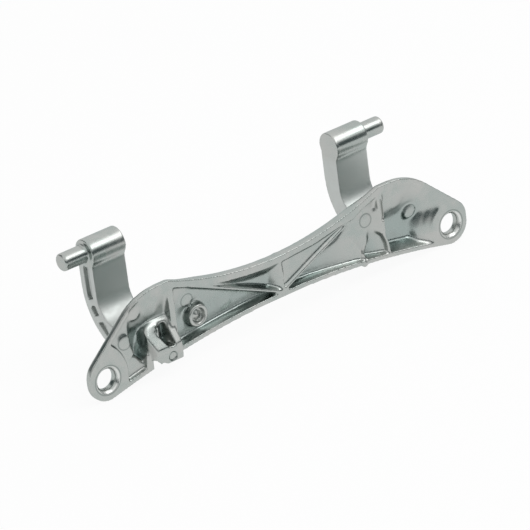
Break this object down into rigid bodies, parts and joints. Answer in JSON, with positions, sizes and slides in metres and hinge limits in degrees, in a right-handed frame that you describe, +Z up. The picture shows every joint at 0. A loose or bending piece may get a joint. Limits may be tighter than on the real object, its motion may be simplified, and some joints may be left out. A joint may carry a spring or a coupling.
{
  "type": "washing machine door hinge",
  "caption": "Bow shaped, ribbed die cast door hinge with hooked arms that end in outward pins, and a screw hole at each end.",
  "frame": {"origin": "midway between the two screw holes, on the plane of the plate's open rim, 0.9 mm in front of the seats round the holes", "axes": "+X along the hinge pins, +Y back from the plate towards the arms, +Z up"},
  "size_m": [0.208, 0.0435, 0.0574],
  "materials": {
    "cast_zinc": "satin as-cast zinc alloy, light grey"
  },
  "bodies": {
    "root": {"hinge_casting": "cast_zinc"}
  },
  "joints": []
}
